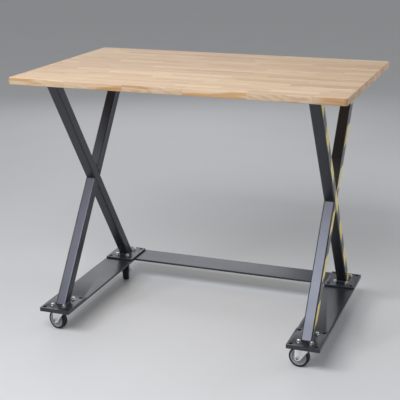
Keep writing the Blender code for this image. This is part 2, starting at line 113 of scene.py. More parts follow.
def skin(rings, closed=False):
    """A shell over rings of points set one after another, as (points, quads, caps). The first and last
    rings are capped flat, or joined to each other where the shell closes on itself."""
    count, columns = rings.shape[:2]
    loop = np.arange(columns)
    caps = [] if closed else [loop[::-1], (count - 1) * columns + loop]
    return outward(rings.reshape(-1, 3), grid_quads(count, columns, closed), caps)


def new_piece(name, shells, finish, sharp_angle=40):
    """An object at the origin from closed shells, with its place in their points. Caps are shaded flat."""
    polygons = []
    smooth = []
    start = 0
    for points, quads, caps in shells:
        polygons += (quads + start).tolist() + [(cap + start).tolist() for cap in caps]
        smooth += [True] * len(quads) + [False] * len(caps)
        start += len(points)
    mesh = bpy.data.meshes.new(name)
    mesh.from_pydata(np.concatenate([shell[0] for shell in shells]).tolist(), [], polygons)
    mesh.polygons.foreach_set("use_smooth", smooth)
    mesh.set_sharp_from_angle(angle=np.radians(sharp_angle))
    mesh.materials.append(finish)
    piece = bpy.data.objects.new(name, mesh)
    bpy.context.scene.collection.objects.link(piece)
    return piece


def along_to_plane(starts, direction, plane):
    """Each start moved along the direction until it meets a plane, given as (point, normal)."""
    point, normal = plane
    distance = (point - starts) @ normal / (direction @ normal)
    return starts + distance[:, None] * direction


def square_tube(middle, direction, size, first_cut, last_cut):
    """A rounded square profile carried along a line between two cutting planes, out along the outside and
    back along the bore. Two points beside the corners of each face keep its shading flat."""
    across = np.cross(direction, x_axis)
    rings = []
    for inset, cuts in ((0.0, (first_cut, last_cut)), (tube_wall, (last_cut, first_cut))):
        centres, vectors = rounded_rectangle(size, size, tube_corner_radius, corner_steps)
        arcs = (centres + (tube_corner_radius - inset) * vectors).reshape(4, -1, 2)
        face_starts, face_ends = arcs[:, -1:], np.roll(arcs[:, :1], -1, axis=0)
        margins = tube_face_margin * np.sign(np.round(face_ends - face_starts, 6))
        profile = np.concatenate([arcs, face_starts + margins, face_ends - margins], axis=1).reshape(-1, 2)
        starts = middle + profile[:, :1] * x_axis + profile[:, 1:] * across
        rings += [along_to_plane(starts, direction, cut) for cut in cuts]
    return skin(np.array(rings), closed=True)


def add_node(tree, kind, inputs=(), **settings):
    """A node with its settings, and with its inputs set to values or linked to other nodes' outputs."""
    node = tree.nodes.new(kind)
    for name, value in settings.items():
        setattr(node, name, value)
    for key, value in dict(inputs).items():
        if isinstance(value, bpy.types.NodeSocket):
            tree.links.new(value, node.inputs[key])
        else:
            node.inputs[key].default_value = value
    return node


def maths(tree, operation, *values):
    """The result of a Math node."""
    return add_node(tree, "ShaderNodeMath", enumerate(values), operation=operation).outputs[0]


def ranged(tree, value, low, high, to_low=0.0, to_high=1.0, kind="SMOOTHSTEP"):
    """A value carried from one range to another, and held at its ends."""
    inputs = {"Value": value, "From Min": low, "From Max": high, "To Min": to_low, "To Max": to_high}
    return add_node(tree, "ShaderNodeMapRange", inputs, interpolation_type=kind).outputs["Result"]


def mixed(tree, factor, first, second, blend="MIX"):
    """A colour between two, by a factor."""
    inputs = {0: factor, 6: first, 7: second}
    return add_node(tree, "ShaderNodeMix", inputs, data_type="RGBA", blend_type=blend).outputs[2]


def noise(tree, coordinates, stretch, detail=2.0):
    """Noise on coordinates that are scaled along each axis, so larger numbers make finer marks."""
    scaled = add_node(tree, "ShaderNodeMapping", {"Vector": coordinates, "Scale": stretch}).outputs[0]
    inputs = {"Vector": scaled, "Scale": 1.0, "Detail": detail}
    return add_node(tree, "ShaderNodeTexNoise", inputs).outputs["Fac"]


def mottle_group():
    """A shader node group: soft blotches of a size in metres, which move a value between Low and High."""
    tree = bpy.data.node_groups.new("mottle", "ShaderNodeTree")
    for name, kind in (("Vector", "Vector"), ("Size", "Float"), ("Low", "Float"), ("High", "Float")):
        tree.interface.new_socket(name, in_out="INPUT", socket_type=f"NodeSocket{kind}")
    tree.interface.new_socket("Value", in_out="OUTPUT", socket_type="NodeSocketFloat")
    given = tree.nodes.new("NodeGroupInput").outputs
    result = tree.nodes.new("NodeGroupOutput").inputs
    fineness = maths(tree, "DIVIDE", 1.0, given["Size"])
    inputs = {"Vector": given["Vector"], "Scale": fineness, "Detail": 3.0}
    blotches = add_node(tree, "ShaderNodeTexNoise", inputs).outputs["Fac"]
    value = ranged(tree, blotches, *noise_span, given["Low"], given["High"], "LINEAR")
    tree.links.new(value, result["Value"])
    return tree


mottle = mottle_group()


def new_finish(name, **values):
    """A material with plain values on its shader, and its tree, shader inputs and Object coordinates."""
    finish = bpy.data.materials.new(name)
    finish.use_nodes = True
    tree = finish.node_tree
    shader = tree.nodes["Principled BSDF"]
    for socket, value in values.items():
        shader.inputs[socket.replace("_", " ")].default_value = value
    return finish, tree, shader.inputs, add_node(tree, "ShaderNodeTexCoord").outputs["Object"]


def mottled(tree, coordinates, size, low, high):
    """A value that wanders between low and high in blotches of a size, from the mottle group."""
    inputs = {"Vector": coordinates, "Size": size, "Low": low, "High": high}
    return add_node(tree, "ShaderNodeGroup", inputs, node_tree=mottle).outputs["Value"]


def facing_shares(tree):
    """The parts of a surface's normal along X, Y and Z."""
    normal = add_node(tree, "ShaderNodeNewGeometry").outputs["Normal"]
    return add_node(tree, "ShaderNodeSeparateXYZ", {0: normal}).outputs


def bumped(tree, height, strength, distance):
    """A normal raised by a height."""
    inputs = {"Height": height, "Strength": strength, "Distance": distance}
    return add_node(tree, "ShaderNodeBump", inputs).outputs["Normal"]


def grained(tree, coordinates, size, strength, distance):
    """A normal raised by a grain of a size, from the mottle group."""
    return bumped(tree, mottled(tree, coordinates, size, 0.0, 1.0), strength, distance)


def powder_coat_finish():
    """Charcoal with a wandering roughness and a fine orange peel. Dust greys what faces up: the normal's
    upward part, squared, times patches of noise."""
    finish, tree, shader, coordinates = new_finish(
        "charcoal_powder_coat", IOR=coat_index, Specular_Tint=coat_sheen_tint
    )
    upward = maths(tree, "MAXIMUM", facing_shares(tree)["Z"], 0.0)
    patches = noise(tree, coordinates, dust_fineness, detail=4.0)
    patches = ranged(tree, patches, *dust_span, dust_thinnest, 1.0)
    dust = maths(tree, "MULTIPLY", maths(tree, "POWER", upward, 2.0), patches)
    dust = maths(tree, "MULTIPLY", dust, coat_dust)
    tree.links.new(mixed(tree, dust, coat_colour, coat_dust_colour), shader["Base Color"])
    tree.links.new(mottled(tree, coordinates, *coat_roughness), shader["Roughness"])
    tree.links.new(grained(tree, coordinates, *coat_peel), shader["Normal"])
    return finish


powder_coat = powder_coat_finish()
leg_low, leg_top = node_box("left_through_leg")[:, 2]
tube_size = np.ptp(node_box("left_through_leg")[:, 0])
foot_plane = (leg_low * up, up)
head_plane = (leg_top * up, up)
leg_lines = {}
for side in sides:
    front_foot, rear_foot = (node_box(f"{end}_{side}_leg_plate").mean(axis=0) for end in ends)
    middle = np.array((front_foot[0], 0.0, (leg_low + leg_top) / 2))
    through = np.array((0.0, front_foot[1] - rear_foot[1], leg_top - leg_low))
    through /= np.linalg.norm(through)
    half = through * (1, -1, 1)
    square = np.cross(through, x_axis)
    near_face = (middle - tube_size / 2 * square, square)
    far_face = (middle + tube_size / 2 * square, square)
    cuts = {
        "through_leg": (through, foot_plane, head_plane),
        "lower_half_leg": (half, foot_plane, near_face),
        "upper_half_leg": (half, far_face, head_plane),
    }
    leg_lines[side] = (middle, cuts)
    for piece, (direction, first_cut, last_cut) in cuts.items():
        tube = square_tube(middle, direction, tube_size, first_cut, last_cut)
        leg = new_piece(f"{side}_{piece}_tube", [tube], powder_coat)
        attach(leg, "bench")
        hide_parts(f"{side}_{piece}")

# The weld beads are fillets laid by hand: one right round each leg end on its plate, and one along each
# seam where a half leg meets the through leg, ground off at the sides. They lie under the same coat.
bead_radius = 0.0024
bead_ripple = 0.0030
bead_swell = 0.12
bead_steps = 4
bead_sides = 8
bead_taper = 8
bead_blunt_end = 0.02
seam_inset = 0.0020


def round_angles(steps):
    """Evenly spaced angles once round."""
    return np.linspace(0, 2 * np.pi, steps, endpoint=False)


def weld_bead(path, side_vectors, up_vectors, closed):
    """A circle carried along a path, in the plane of two unit vectors at each point. Its radius swells and
    shrinks as a rounded sawtooth, one ripple for each dab of the torch, and tapers at open ends."""
    steps = np.arange(len(path))
    radius = bead_radius * (1 + bead_swell * np.abs(np.sin(np.pi * steps / bead_steps)))
    if not closed:
        from_middle = np.abs(np.linspace(-1, 1, len(path)))
        radius *= np.sqrt(np.clip(1 + bead_blunt_end - from_middle**bead_taper, 0, 1))
    turn = round_angles(bead_sides)[:, None]
    circle = np.cos(turn) * side_vectors[:, None, :] + np.sin(turn) * up_vectors[:, None, :]
    return skin(path[:, None, :] + radius[:, None, None] * circle, closed)


def round_bead(centre, width, depth, upward):
    """A bead round a rounded rectangle on a level plate, with points evenly spaced along it."""
    centres, vectors = rounded_rectangle(width, depth, tube_corner_radius, corner_steps)
    loop = np.hstack([centres + tube_corner_radius * vectors, vectors])
    loop = np.vstack([loop, loop[:1]])
    travelled = np.concatenate([[0], np.cumsum(np.hypot(*np.diff(loop[:, :2], axis=0).T))])
    count = round(travelled[-1] / bead_ripple) * bead_steps
    places = np.linspace(0, travelled[-1], count, endpoint=False)
    x, y, side_x, side_y = (np.interp(places, travelled, column) for column in loop.T)
    path = centre + np.stack([x, y, np.zeros(count)], axis=1)
    side_vectors = np.stack([side_x, side_y, np.zeros(count)], axis=1)
    return weld_bead(path, side_vectors, np.tile(upward, (count, 1)), closed=True)


def seam_bead(middle, along, seam_length, side_vector, up_vector):
    """A straight bead along a seam, less what is ground away at the seam's ends."""
    length = seam_length - 2 * seam_inset
    count = round(length / bead_ripple * bead_steps)
    path = middle + np.linspace(-length / 2, length / 2, count)[:, None] * along
    return weld_bead(path, np.tile(side_vector, (count, 1)), np.tile(up_vector, (count, 1)), closed=False)


for side in sides:
    middle, cuts = leg_lines[side]
    leg_depth = tube_size / cuts["through_leg"][0][2]
    beads = []
    for end in ends:
        for node, level, upward in (("leg_plate", leg_low, up), ("top_plate", leg_top, -up)):
            centre = node_box(f"{end}_{side}_{node}").mean(axis=0) * (1, 1, 0) + level * up
            beads.append(round_bead(centre, tube_size, leg_depth, upward))
    for piece, cut in (("lower_half_leg", 2), ("upper_half_leg", 1)):
        direction = cuts[piece][0]
        across = np.cross(direction, x_axis)
        edges = middle + np.array((-1, 1))[:, None] * tube_size / 2 * across
        for edge in along_to_plane(edges, direction, cuts[piece][cut]):
            beads.append(seam_bead(edge, x_axis, tube_size, across, direction))
    welds = new_piece(f"{side}_frame_weld_beads", beads, powder_coat)
    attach(welds, "bench")

# The leg plates and top plates are 120 by 150 mm blanks sheared from flat steel and drilled, one welded to
# each leg end. A leg plate has four spare corner holes drilled, and four bolt holes that are left uncut
# under the bolts; a top plate has four screw holes.
corners = [f"{end}_{side}" for end in ends for side in sides]
plate_corner_radius = 0.003
plate_ease = 0.0007
hole_steps = 24
corner_hole_edge = 0.015
corner_hole_radius = 0.0070
screw_hole_radius = 0.003
hole_radii = {"leg_plate": corner_hole_radius, "top_plate": screw_hole_radius}


def eased_edge(low, high, ease, steps=4):
    """Insets and levels up the edge of a slab: a quarter round, the upright face and a quarter round."""
    turn = np.linspace(0, np.pi / 2, steps + 1)
    inset = ease * (1 - np.sin(turn))
    rise = ease * (1 - np.cos(turn))
    return np.concatenate([inset, inset[::-1]]), np.concatenate([low + rise, high - rise[::-1]])


def drilled_plate(low, high, corner_radius, ease, holes=(), steps=corner_steps):
    """A plate between two corners: its edge profile carried round the plan outline and, turned inside out,
    round each hole ((x, y), radius). Its two faces span what is left between those rims."""
    insets, levels = eased_edge(low[2], high[2], ease)
    centres, vectors = rounded_rectangle(*(high - low)[:2], corner_radius, steps)
    loops = [(low + high)[:2] / 2 + centres + (corner_radius - insets[:, None, None]) * vectors]
    turn = np.linspace(2 * np.pi, 0, hole_steps, endpoint=False)
    circle = np.stack([np.cos(turn), np.sin(turn)], axis=1)
    loops += [np.array(place) + (radius + insets[:, None, None]) * circle for place, radius in holes]
    quads = []
    rim_points = []
    start = 0
    for loop in loops:
        rows, columns = loop.shape[:2]
        quads.append(start + grid_quads(rows, columns))
        rim_points.append(start + np.arange(columns))
        start += rows * columns
    blocks = [np.dstack([loop, np.broadcast_to(levels[:, None], loop.shape[:2])]) for loop in loops]
    points = np.concatenate([block.reshape(-1, 3) for block in blocks])
    spans = tessellate_polygon([[Vector(point) for point in block[0]] for block in blocks])
    triangles = np.concatenate(rim_points)[np.array(spans)]
    a, b, c = (points[triangles[:, i], :2] for i in range(3))
    ab, ac = b - a, c - a
    facing_down = ab[:, 0] * ac[:, 1] < ab[:, 1] * ac[:, 0]
    lower = np.where(facing_down[:, None], triangles, triangles[:, ::-1])
    to_top = np.concatenate([np.full(loop.shape[1], (loop.shape[0] - 1) * loop.shape[1]) for loop in loops])
    shift = np.zeros(start, dtype=int)
    shift[np.concatenate(rim_points)] = to_top
    upper = (lower + shift[lower])[:, ::-1]
    return points, np.concatenate(quads), list(lower) + list(upper)


def corner_holes(low, high, radius):
    """Four holes at the same distance from the edges of a plate."""
    near, far = low + corner_hole_edge, high - corner_hole_edge
    return [((x, y), radius) for x in (near[0], far[0]) for y in (near[1], far[1])]


for corner in corners:
    for piece, hole_radius in hole_radii.items():
        low, high = node_box(f"{corner}_{piece}")
        holes = corner_holes(low, high, hole_radius)
        shell = drilled_plate(low, high, plate_corner_radius, plate_ease, holes)
        plate = new_piece(f"{corner}_{piece}_drilled", [shell], powder_coat)
        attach(plate, "bench")
        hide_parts(f"{corner}_{piece}")

# The foot plates are flat steel bars from front to back under each frame, and the cross plate ties them
# together along the back. It is butted between them, level with their tops, and welded from below, with one
# bead along each seam.
cross_corner_radius = 1.5 * plate_ease
y_axis = np.array((0.0, 1.0, 0.0))
for side in sides:
    holes = []
    for end in ends:
        holes += corner_holes(*node_box(f"{end}_{side}_leg_plate"), corner_hole_radius)
    shell = drilled_plate(*node_box(f"{side}_foot_plate"), plate_corner_radius, plate_ease, holes)
    foot = new_piece(f"{side}_foot_bar", [shell], powder_coat)
    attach(foot, "bench")
    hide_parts(f"{side}_foot_plate")

low, high = node_box("rear_cross_plate")
shell = drilled_plate(low, high, cross_corner_radius, plate_ease)
tie = new_piece("rear_cross_bar", [shell], powder_coat)
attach(tie, "bench")
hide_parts("rear_cross_plate")

seam_middles = [np.array((x, (low + high)[1] / 2, low[2])) for x in (low[0], high[0])]
beads = [seam_bead(middle, y_axis, (high - low)[1], x_axis, -up) for middle in seam_middles]
welds = new_piece("rear_cross_bar_weld_beads", beads, powder_coat)
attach(welds, "bench")

# Hazard tape covers the outward face of each leg. It is glossy vinyl with slanting yellow and black
# stripes, laid by hand from a roll, the through leg's length over the half legs', and scuffed in use.
tape_yellow = (0.84, 0.66, 0.16, 1.0)
tape_black = (0.042, 0.042, 0.044, 1.0)
tape_grime_colour = (0.22, 0.18, 0.09, 1.0)
tape_grime = (0.035, 0.0, 0.22)
tape_roughness = (0.02, 0.26, 0.38)
scratch_stretch = (60.0, 260.0, 45.0)
scratch_span = (0.60, 0.74)
scratch_most = 0.35
scratch_relief = (0.15, 0.0001)
tape_width = 0.030
tape_repeat = 0.170
stripe_blur = 0.0008
first_stripes = {"through_leg": 0.015, "lower_half_leg": 0.088}


def along_axis(tree, vector, axis):
    """How far a vector reaches along a unit vector: their dot product."""
    inputs = {0: vector, 1: axis}
    return add_node(tree, "ShaderNodeVectorMath", inputs, operation="DOT_PRODUCT").outputs["Value"]


def tape_stripes(tree, coordinates, middle, direction, first_stripe):
    """How yellow the tape on one leg is, and how far each point lies from that leg's middle line. The
    distance down from the leg's top, plus the distance across it, repeats with the tape, and the tape is
    yellow within a quarter of a repeat of a stripe's middle. The slant is the same seen from either end."""
    side_sign = maths(tree, "SIGN", add_node(tree, "ShaderNodeSeparateXYZ", {0: coordinates}).outputs["X"])
    from_middle = add_node(
        tree, "ShaderNodeVectorMath", {0: coordinates, 1: middle * (0, 1, 1)}, operation="SUBTRACT"
    ).outputs[0]
    upward = along_axis(tree, from_middle, direction)
    aside = along_axis(tree, from_middle, np.cross(direction, x_axis))
    slanted = maths(tree, "MULTIPLY_ADD", side_sign, aside, maths(tree, "MULTIPLY", upward, -1.0))
    half_length = (leg_top - leg_low) / 2 / direction[2]
    repeats = maths(tree, "DIVIDE", maths(tree, "ADD", slanted, half_length - first_stripe), tape_repeat)
    from_stripe = maths(tree, "MULTIPLY", maths(tree, "PINGPONG", repeats, 0.5), tape_repeat)
    edge = tape_repeat / 4
    yellow = ranged(tree, from_stripe, edge - stripe_blur, edge + stripe_blur, 1.0, 0.0)
    return yellow, maths(tree, "ABSOLUTE", aside)


def hazard_tape_finish():
    """Striped vinyl. Within half a tape's width of the through leg's middle line its own stripes show, and
    elsewhere the half legs'. Grime lies in blotches and in thin scratches, which are raised a little."""
    finish, tree, shader, coordinates = new_finish("hazard_tape")
    middle, cuts = leg_lines["right"]
    (over, from_over), (under, _) = (
        tape_stripes(tree, coordinates, middle, cuts[leg][0], first_stripe)
        for leg, first_stripe in first_stripes.items()
    )
    on_top = maths(tree, "LESS_THAN", from_over, tape_width / 2)
    yellow = add_node(tree, "ShaderNodeMix", {0: on_top, 2: under, 3: over}).outputs[0]
    colour = mixed(tree, yellow, tape_black, tape_yellow)
    scuffs = noise(tree, coordinates, scratch_stretch, detail=3.0)
    scratches = ranged(tree, scuffs, *scratch_span, 0.0, scratch_most)
    grime = maths(tree, "MAXIMUM", mottled(tree, coordinates, *tape_grime), scratches)
    tree.links.new(mixed(tree, grime, colour, tape_grime_colour), shader["Base Color"])
    tree.links.new(mottled(tree, coordinates, *tape_roughness), shader["Roughness"])
    tree.links.new(bumped(tree, scratches, *scratch_relief), shader["Normal"])
    return finish


hazard_tape = hazard_tape_finish()
for side in sides:
    frame["nodes"][f"{side}_marking_strip"].material_slots[0].material = hazard_tape

# The casters' mount plates are pressed steel, zinc plated, each with the cup of its ball race pressed down
# from it. The kingpin is a rivet through the race, with its round head under the fork.
pressing_bright = (0.96, 0.965, 0.98, 1.0)
pressing_dull = (0.88, 0.89, 0.91, 1.0)
pressing_metallic = 0.15
zinc_looks = {
    "cloud": (0.012, 0.0, 1.0),
    "roughness": (0.006, 0.26, 0.42),
    "grain": (0.0008, 0.12, 0.0001),
}
mount_thickness = 0.0025
mount_corner_radius = 0.006
mount_ease = 0.0006
race_steps = 48
race_sunk = 0.001
race_top_radius = 0.025
race_groove_radius = 0.0195
race_low_radius = 0.017
race_outline = (
    (race_top_radius, 0.10),
    (race_top_radius - 0.0008, 0.30),
    (race_top_radius - 0.0022, 0.42),
    (race_groove_radius, 0.46),
    (race_groove_radius, 0.54),
    (race_groove_radius + 0.0012, 0.58),
    (race_groove_radius + 0.0008, 0.75),
    (race_low_radius + 0.0010, 0.92),
    (race_low_radius, 1.0),
)
rivet_flat_radius = 0.0015
rivet_head_height = 0.0030
pin_radius = 0.005


def clouded_finish(name, first, second, cloud, roughness, grain, **values):
    """Two colours that drift into each other in clouds, with a wandering roughness and a raised grain.
    Cloud and roughness are a size, a low and a high value, and grain is a size, a strength and a height."""
    finish, tree, shader, coordinates = new_finish(name, **values)
    share = mottled(tree, coordinates, *cloud)
    tree.links.new(mixed(tree, share, first, second), shader["Base Color"])
    tree.links.new(mottled(tree, coordinates, *roughness), shader["Roughness"])
    tree.links.new(grained(tree, coordinates, *grain), shader["Normal"])
    return finish


def spun(radius, levels, steps, closed=False):
    """A shell about the Z axis, from its radius at each level and angle."""
    angles = round_angles(steps)
    rings = np.broadcast_arrays(radius * np.cos(angles), radius * np.sin(angles), levels[:, None])
    return skin(np.dstack(rings), closed)


def turned(profile, steps, closed=False):
    """A profile of (radius, level) points carried round the Z axis."""
    profile = np.array(profile, dtype=float)
    return spun(profile[:, :1], profile[:, 1], steps, closed)


def placed(shell, origin, axes=np.eye(3)):
    """A shell carried to a place, with its own axes along three unit vectors."""
    points, quads, caps = shell
    return points @ np.array(axes) + origin, quads, caps


zinc = clouded_finish(
    "zinc_pressings", pressing_bright, pressing_dull, **zinc_looks, Metallic=pressing_metallic
)
for corner in corners:
    low, high = node_box(f"{corner}_mount_plate")
    plate_low = high[2] - mount_thickness
    base = drilled_plate(np.array((*low[:2], plate_low)), high, mount_corner_radius, mount_ease)
    depth = plate_low - low[2]
    race = [(race_top_radius, plate_low + race_sunk)]
    race += [(radius, plate_low - share * depth) for radius, share in race_outline]
    middle = (low + high) / 2 * (1, 1, 0)
    mount = new_piece(f"{corner}_mount_pressing", [base, placed(turned(race, race_steps), middle)], zinc)
    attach(mount, "bench")
    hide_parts(f"{corner}_mount_plate")

    low, high = node_box(f"{corner}_kingpin")
    head_radius = (high - low)[0] / 2
    rivet = [
        (rivet_flat_radius, low[2]),
        (0.55 * head_radius, low[2] + 0.0002),
        (0.85 * head_radius, low[2] + 0.0009),
        (head_radius, low[2] + 0.0022),
        (head_radius, low[2] + rivet_head_height),
        (pin_radius, low[2] + rivet_head_height),
        (pin_radius, high[2]),
    ]
    kingpin = new_piece(f"{corner}_kingpin_rivet", [placed(turned(rivet, race_steps), middle)], zinc)
    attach(kingpin, "bench")
    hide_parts(f"{corner}_kingpin")

# The forks are pressed from 2.5 mm steel and zinc plated: a crown over the wheel, bent down at both sides
# into legs that trail behind the swivel and narrow to a round eye at the axle.
fork_thickness = 0.0025
fork_bend_radius = 0.006
fork_eye_radius = 0.012
fork_front = 0.016
fork_inside = 0.0146
fork_ease = 0.0004
fork_sharp_angle = 50
groove_place = 0.0105
groove_half_width = 0.0025
groove_depth = 0.0017
groove_fade = 3
eye_first_angle = -86
eye_rows = 14
leg_rows = 8
bend_rows = 7
crown_rows = 5
fork_columns = 49
joints = {joint["name"]: joint for joint in frame["joints"]}


def caster_axes(corner):
    """A caster's axle and swivel places, and its axes: ahead, from axle to swivel, across, along the axle,
    and up."""
    swivel = np.array(joints[f"{corner}_swivel_turn"]["pos_m"]) * (1, 1, 0)
    axle = np.array(joints[f"{corner}_wheel_roll"]["pos_m"])
    ahead = swivel - axle * (1, 1, 0)
    trail = np.linalg.norm(ahead)
    ahead /= trail
    return axle, swivel, trail, np.array((ahead, np.cross(up, ahead), up))


def fork_sheet(trail, axle_z, crown_top):
    """The fork about its swivel axis. The sheet's middle line is a U across the wheel: up one leg, round a
    bend, over the crown and down the other leg. Each row runs from the back edge, which is upright, to the
    front edge, a slant that is tangent to the eye's circle. Half the thickness lies on each side. A groove
    ahead of the axle sinks into each leg as a cosine, and fades out round the bend."""
    half = fork_thickness / 2
    leg_y = fork_inside + half
    bend = fork_bend_radius - half
    bend_z = crown_top - fork_bend_radius
    shoulder = np.array((fork_front + trail, bend_z - axle_z))
    tangent = np.arctan2(shoulder[1], shoulder[0]) - np.arccos(fork_eye_radius / np.hypot(*shoulder))
    eye_turn = np.linspace(np.radians(eye_first_angle), tangent, eye_rows)
    eye_z = axle_z + fork_eye_radius * np.sin(eye_turn)
    leg_z = np.concatenate([eye_z, np.linspace(eye_z[-1], bend_z, leg_rows)[1:]])
    turn = np.linspace(0, np.pi / 2, bend_rows)[1:]
    line_y = np.concatenate([np.full(len(leg_z), leg_y), leg_y - bend * (1 - np.cos(turn))])
    line_z = np.concatenate([leg_z, bend_z + bend * np.sin(turn)])
    normal_y = np.concatenate([np.ones(len(leg_z)), np.cos(turn)])
    normal_z = np.concatenate([np.zeros(len(leg_z)), np.sin(turn)])
    crown_y = np.linspace(line_y[-1], -line_y[-1], crown_rows)[1:-1]
    line_y = np.concatenate([line_y, crown_y, -line_y[::-1]])
    line_z = np.concatenate([line_z, np.full(len(crown_y), line_z[-1]), line_z[::-1]])
    normal_y = np.concatenate([normal_y, np.zeros(len(crown_y)), -normal_y[::-1]])
    normal_z = np.concatenate([normal_z, np.ones(len(crown_y)), normal_z[::-1]])

    rise = (line_z - axle_z) / fork_eye_radius
    round_off = fork_eye_radius * np.sqrt(np.clip(1 - rise**2, 0, 1))
    back = np.where(rise < 0, -trail - round_off, -trail - fork_eye_radius)
    tangent_x = -trail + fork_eye_radius * np.cos(tangent)
    slant = np.interp(line_z, (eye_z[-1], bend_z), (tangent_x, fork_front))
    front = np.where(line_z <= eye_z[-1], -trail + round_off, slant)
    share = np.linspace(0, 1, fork_columns)
    x = back[:, None] + (front - back)[:, None] * share
    across_groove = np.clip((x + trail - groove_place) / groove_half_width, -1, 1)
    groove = groove_depth * (0.5 + 0.5 * np.cos(np.pi * across_groove))
    groove = groove * normal_y[:, None] ** groove_fade
    rings = []
    for offset in (half, -half):
        y = (line_y + offset * normal_y)[:, None] - groove
        z = np.broadcast_to((line_z + offset * normal_z)[:, None], x.shape)
        rings.append(np.dstack([x, y, z]))
    return skin(np.concatenate([rings[0], rings[1][:, ::-1]], axis=1))


for corner in corners:
    axle, swivel, trail, axes = caster_axes(corner)
    crown_top = node_box(f"{corner}_fork")[1, 2]
    shell = placed(fork_sheet(trail, axle[2], crown_top), swivel, axes)
    fork = new_piece(f"{corner}_fork_pressing", [shell], zinc, fork_sharp_angle)
    ease = fork.modifiers.new("Eased edges", "BEVEL")
    ease.width = fork_ease
    ease.segments = 2
    ease.limit_method = "ANGLE"
    ease.angle_limit = np.radians(fork_sharp_angle)
    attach(fork, f"{corner}_swivel")
    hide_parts(f"{corner}_fork")

# The axles are hexagon bolts through fork and hub, zinc plated like the forks. Each is held by a lock nut,
# with a ring of black nylon rolled into it, and the bolt's end stops a little below that ring's face. The
# ring's near-black also stands in as painted shade in the nut's bore.
fastener_bright = (0.80, 0.81, 0.83, 1.0)
fastener_dull = (0.62, 0.63, 0.65, 1.0)
fastener_metallic = 1.0
fastener_sharp_angle = 30
hexagon_flats = 0.013
hexagon_steps = 48
shank_steps = 24
chamfer_end_radius = 0.47 * hexagon_flats
chamfer_depth = 0.0009
chamfer_slope = 1.7
chamfer_rows = 5
thread_radius = 0.004
thread_depth = 0.00045
thread_pitch = 0.00125
thread_rows = 7
thread_lead_share = 1.4
axle_head_height = 0.005
nut_height = 0.0065
nylon_painted_shade_colour = (0.010, 0.010, 0.011, 1.0)
nylon_roughness = (0.002, 0.45, 0.60)
nylon_outer_radius = 0.0052
nylon_inner_radius = 0.0032
nylon_depth = 0.0030
nylon_ease = 0.0003
bolt_end_below = 0.0022


def hexagon_block(low, high, chamfer_low, chamfer_high, bore_radius=None):
    """A hexagon about Z between two levels: at each angle the distance to its flats, cut down near a
    chamfered end by a cone that widens away from that end. Where it is bored through, its surface goes on
    over the upper end and down inside."""
    depths = np.linspace(0, chamfer_depth, chamfer_rows)
    levels = np.concatenate([low + depths, high - depths[::-1]])
    sixth = np.pi / 3
    flats = hexagon_flats / 2 / np.cos(round_angles(hexagon_steps) % sixth - sixth / 2)
    radius = np.tile(flats, (len(levels), 1))
    for chamfered, from_end in ((chamfer_low, levels - low), (chamfer_high, high - levels)):
        if chamfered:
            radius = np.minimum(radius, chamfer_end_radius + chamfer_slope * from_end[:, None])
    if bore_radius:
        radius = np.vstack([radius, np.full((2, hexagon_steps), bore_radius)])
        levels = np.concatenate([levels, (high, low)])
    return spun(radius, levels, hexagon_steps, closed=bore_radius is not None)


def threaded_end(low, high):
    """A bolt's end: its radius falls by the thread's depth on a wave that climbs one pitch a turn, and is
    drawn in over the last half pitch."""
    levels = np.linspace(low, high, round((high - low) / thread_pitch * thread_rows))
    climb = 2 * np.pi * levels[:, None] / thread_pitch
    wave = 0.5 + 0.5 * np.cos(climb - round_angles(shank_steps))
    lead = np.clip(1 - (high - levels[:, None]) / (thread_pitch / 2), 0, 1)
    radius = thread_radius - thread_depth * np.maximum(wave, thread_lead_share * lead)
    return spun(radius, levels, shank_steps)


def shank(low, high):
    """A bolt's plain round part between two levels."""
    return turned([(thread_radius, low), (thread_radius, high)], shank_steps)


bolt_zinc = clouded_finish(
    "zinc_fasteners", fastener_bright, fastener_dull, **zinc_looks, Metallic=fastener_metallic
)
# The nylon ring's near-black is partly painted shade, darkening the nut's bore.
nylon, tree, shader, coordinates = new_finish("black_nylon_painted_shade", Base_Color=nylon_painted_shade_colour)
tree.links.new(mottled(tree, coordinates, *nylon_roughness), shader["Roughness"])
seat = fork_inside + fork_thickness
nut_top = seat + nut_height
ring_profile = [
    (nylon_outer_radius, nut_top - nylon_depth),
    (nylon_outer_radius, nut_top - nylon_ease),
    (nylon_outer_radius - nylon_ease, nut_top),
    (nylon_inner_radius + nylon_ease, nut_top),
    (nylon_inner_radius, nut_top - nylon_ease),
    (nylon_inner_radius, nut_top - nylon_depth),
]
for corner in corners:
    axle, *_, (_, across, _) = caster_axes(corner)
    bolt_axes = np.array((up, np.cross(-across, up), -across))
    shells = [
        hexagon_block(-seat - axle_head_height, -seat, True, False),
        shank(-seat, nut_top - bolt_end_below),
        hexagon_block(seat, nut_top, True, True, bore_radius=nylon_outer_radius),
    ]
    shells = [placed(shell, axle, bolt_axes) for shell in shells]
    bolt = new_piece(f"{corner}_axle_and_nut", shells, bolt_zinc, fastener_sharp_angle)
    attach(bolt, f"{corner}_swivel")
    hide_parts(f"{corner}_axle_bolt")
    ring = placed(turned(ring_profile, shank_steps, closed=True), axle, bolt_axes)
    insert = new_piece(f"{corner}_axle_nut_ring", [ring], nylon)
    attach(insert, f"{corner}_swivel")

